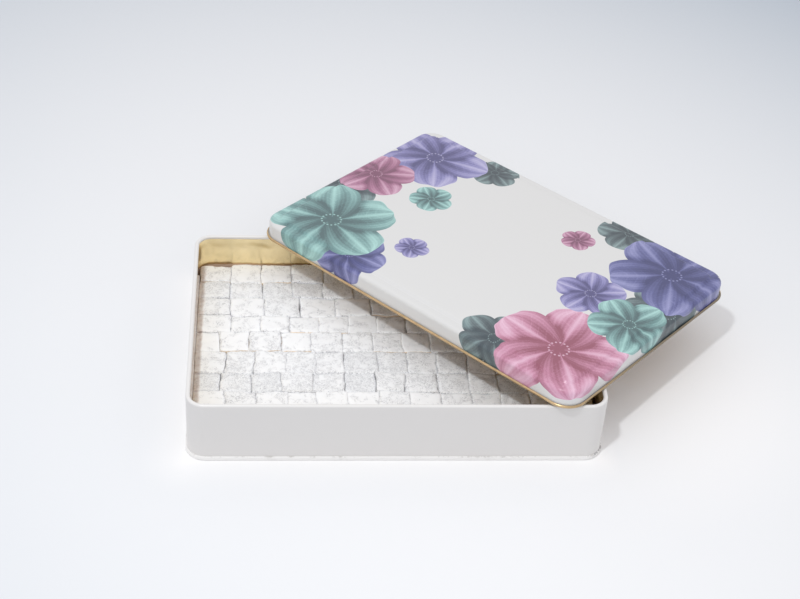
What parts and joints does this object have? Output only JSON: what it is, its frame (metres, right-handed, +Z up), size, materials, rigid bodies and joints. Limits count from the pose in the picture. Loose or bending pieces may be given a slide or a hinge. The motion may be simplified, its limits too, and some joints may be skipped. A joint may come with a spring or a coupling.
{
  "type": "turkish delight tin",
  "caption": "Shallow rectangular gift tin of dusted turkish delight cubes, with its drawn slip lid lying askew across the rolled rim.",
  "frame": {"origin": "centre of the tin's base, on the surface it stands on", "axes": "+X along the tin's length, +Y towards its back, +Z up out of the tin"},
  "size_m": [0.3834, 0.3287, 0.0647],
  "materials": {
    "white_lacquered_tinplate": "gloss white outside, gold lacquer inside",
    "printed_lid_tinplate": "silk-gloss floral print outside, gold lacquer inside and on the hem",
    "dusted_turkish_delight": "soft gel powdered with icing sugar"
  },
  "bodies": {
    "tin": {"tin_body": "white_lacquered_tinplate", "tin_bottom": "white_lacquered_tinplate", "delight_row_1": "dusted_turkish_delight", "delight_row_2": "dusted_turkish_delight", "delight_row_3": "dusted_turkish_delight", "delight_row_4": "dusted_turkish_delight", "delight_row_5": "dusted_turkish_delight", "delight_row_6": "dusted_turkish_delight", "delight_row_7": "dusted_turkish_delight", "delight_row_8": "dusted_turkish_delight", "delight_row_9": "dusted_turkish_delight"},
    "lid": {"lid": "printed_lid_tinplate"},
    "row_1_end": {"delight_row_1_end_cube": "dusted_turkish_delight"},
    "row_2_end": {"delight_row_2_end_cube": "dusted_turkish_delight"},
    "row_3_end": {"delight_row_3_end_cube": "dusted_turkish_delight"},
    "row_4_end": {"delight_row_4_end_cube": "dusted_turkish_delight"},
    "row_5_end": {"delight_row_5_end_cube": "dusted_turkish_delight"},
    "row_6_end": {"delight_row_6_end_cube": "dusted_turkish_delight"},
    "row_7_end": {"delight_row_7_end_cube": "dusted_turkish_delight"},
    "row_8_end": {"delight_row_8_end_cube": "dusted_turkish_delight"},
    "row_9_end": {"delight_row_9_end_cube": "dusted_turkish_delight"}
  },
  "joints": [
    {"name": "lid_lift", "type": "slide", "parent": "tin", "child": "lid", "axis": [0, 0, 1], "range_m": [0, 0.1]},
    {"name": "row_1_pick", "type": "slide", "parent": "tin", "child": "row_1_end", "axis": [0, 0, 1], "range_m": [0, 0.08]},
    {"name": "row_2_pick", "type": "slide", "parent": "tin", "child": "row_2_end", "axis": [0, 0, 1], "range_m": [0, 0.08]},
    {"name": "row_3_pick", "type": "slide", "parent": "tin", "child": "row_3_end", "axis": [0, 0, 1], "range_m": [0, 0.08]},
    {"name": "row_4_pick", "type": "slide", "parent": "tin", "child": "row_4_end", "axis": [0, 0, 1], "range_m": [0, 0.08]},
    {"name": "row_5_pick", "type": "slide", "parent": "tin", "child": "row_5_end", "axis": [0, 0, 1], "range_m": [0, 0.08]},
    {"name": "row_6_pick", "type": "slide", "parent": "tin", "child": "row_6_end", "axis": [0, 0, 1], "range_m": [0, 0.08]},
    {"name": "row_7_pick", "type": "slide", "parent": "tin", "child": "row_7_end", "axis": [0, 0, 1], "range_m": [0, 0.08]},
    {"name": "row_8_pick", "type": "slide", "parent": "tin", "child": "row_8_end", "axis": [0, 0, 1], "range_m": [0, 0.08]},
    {"name": "row_9_pick", "type": "slide", "parent": "tin", "child": "row_9_end", "axis": [0, 0, 1], "range_m": [0, 0.08]}
  ]
}
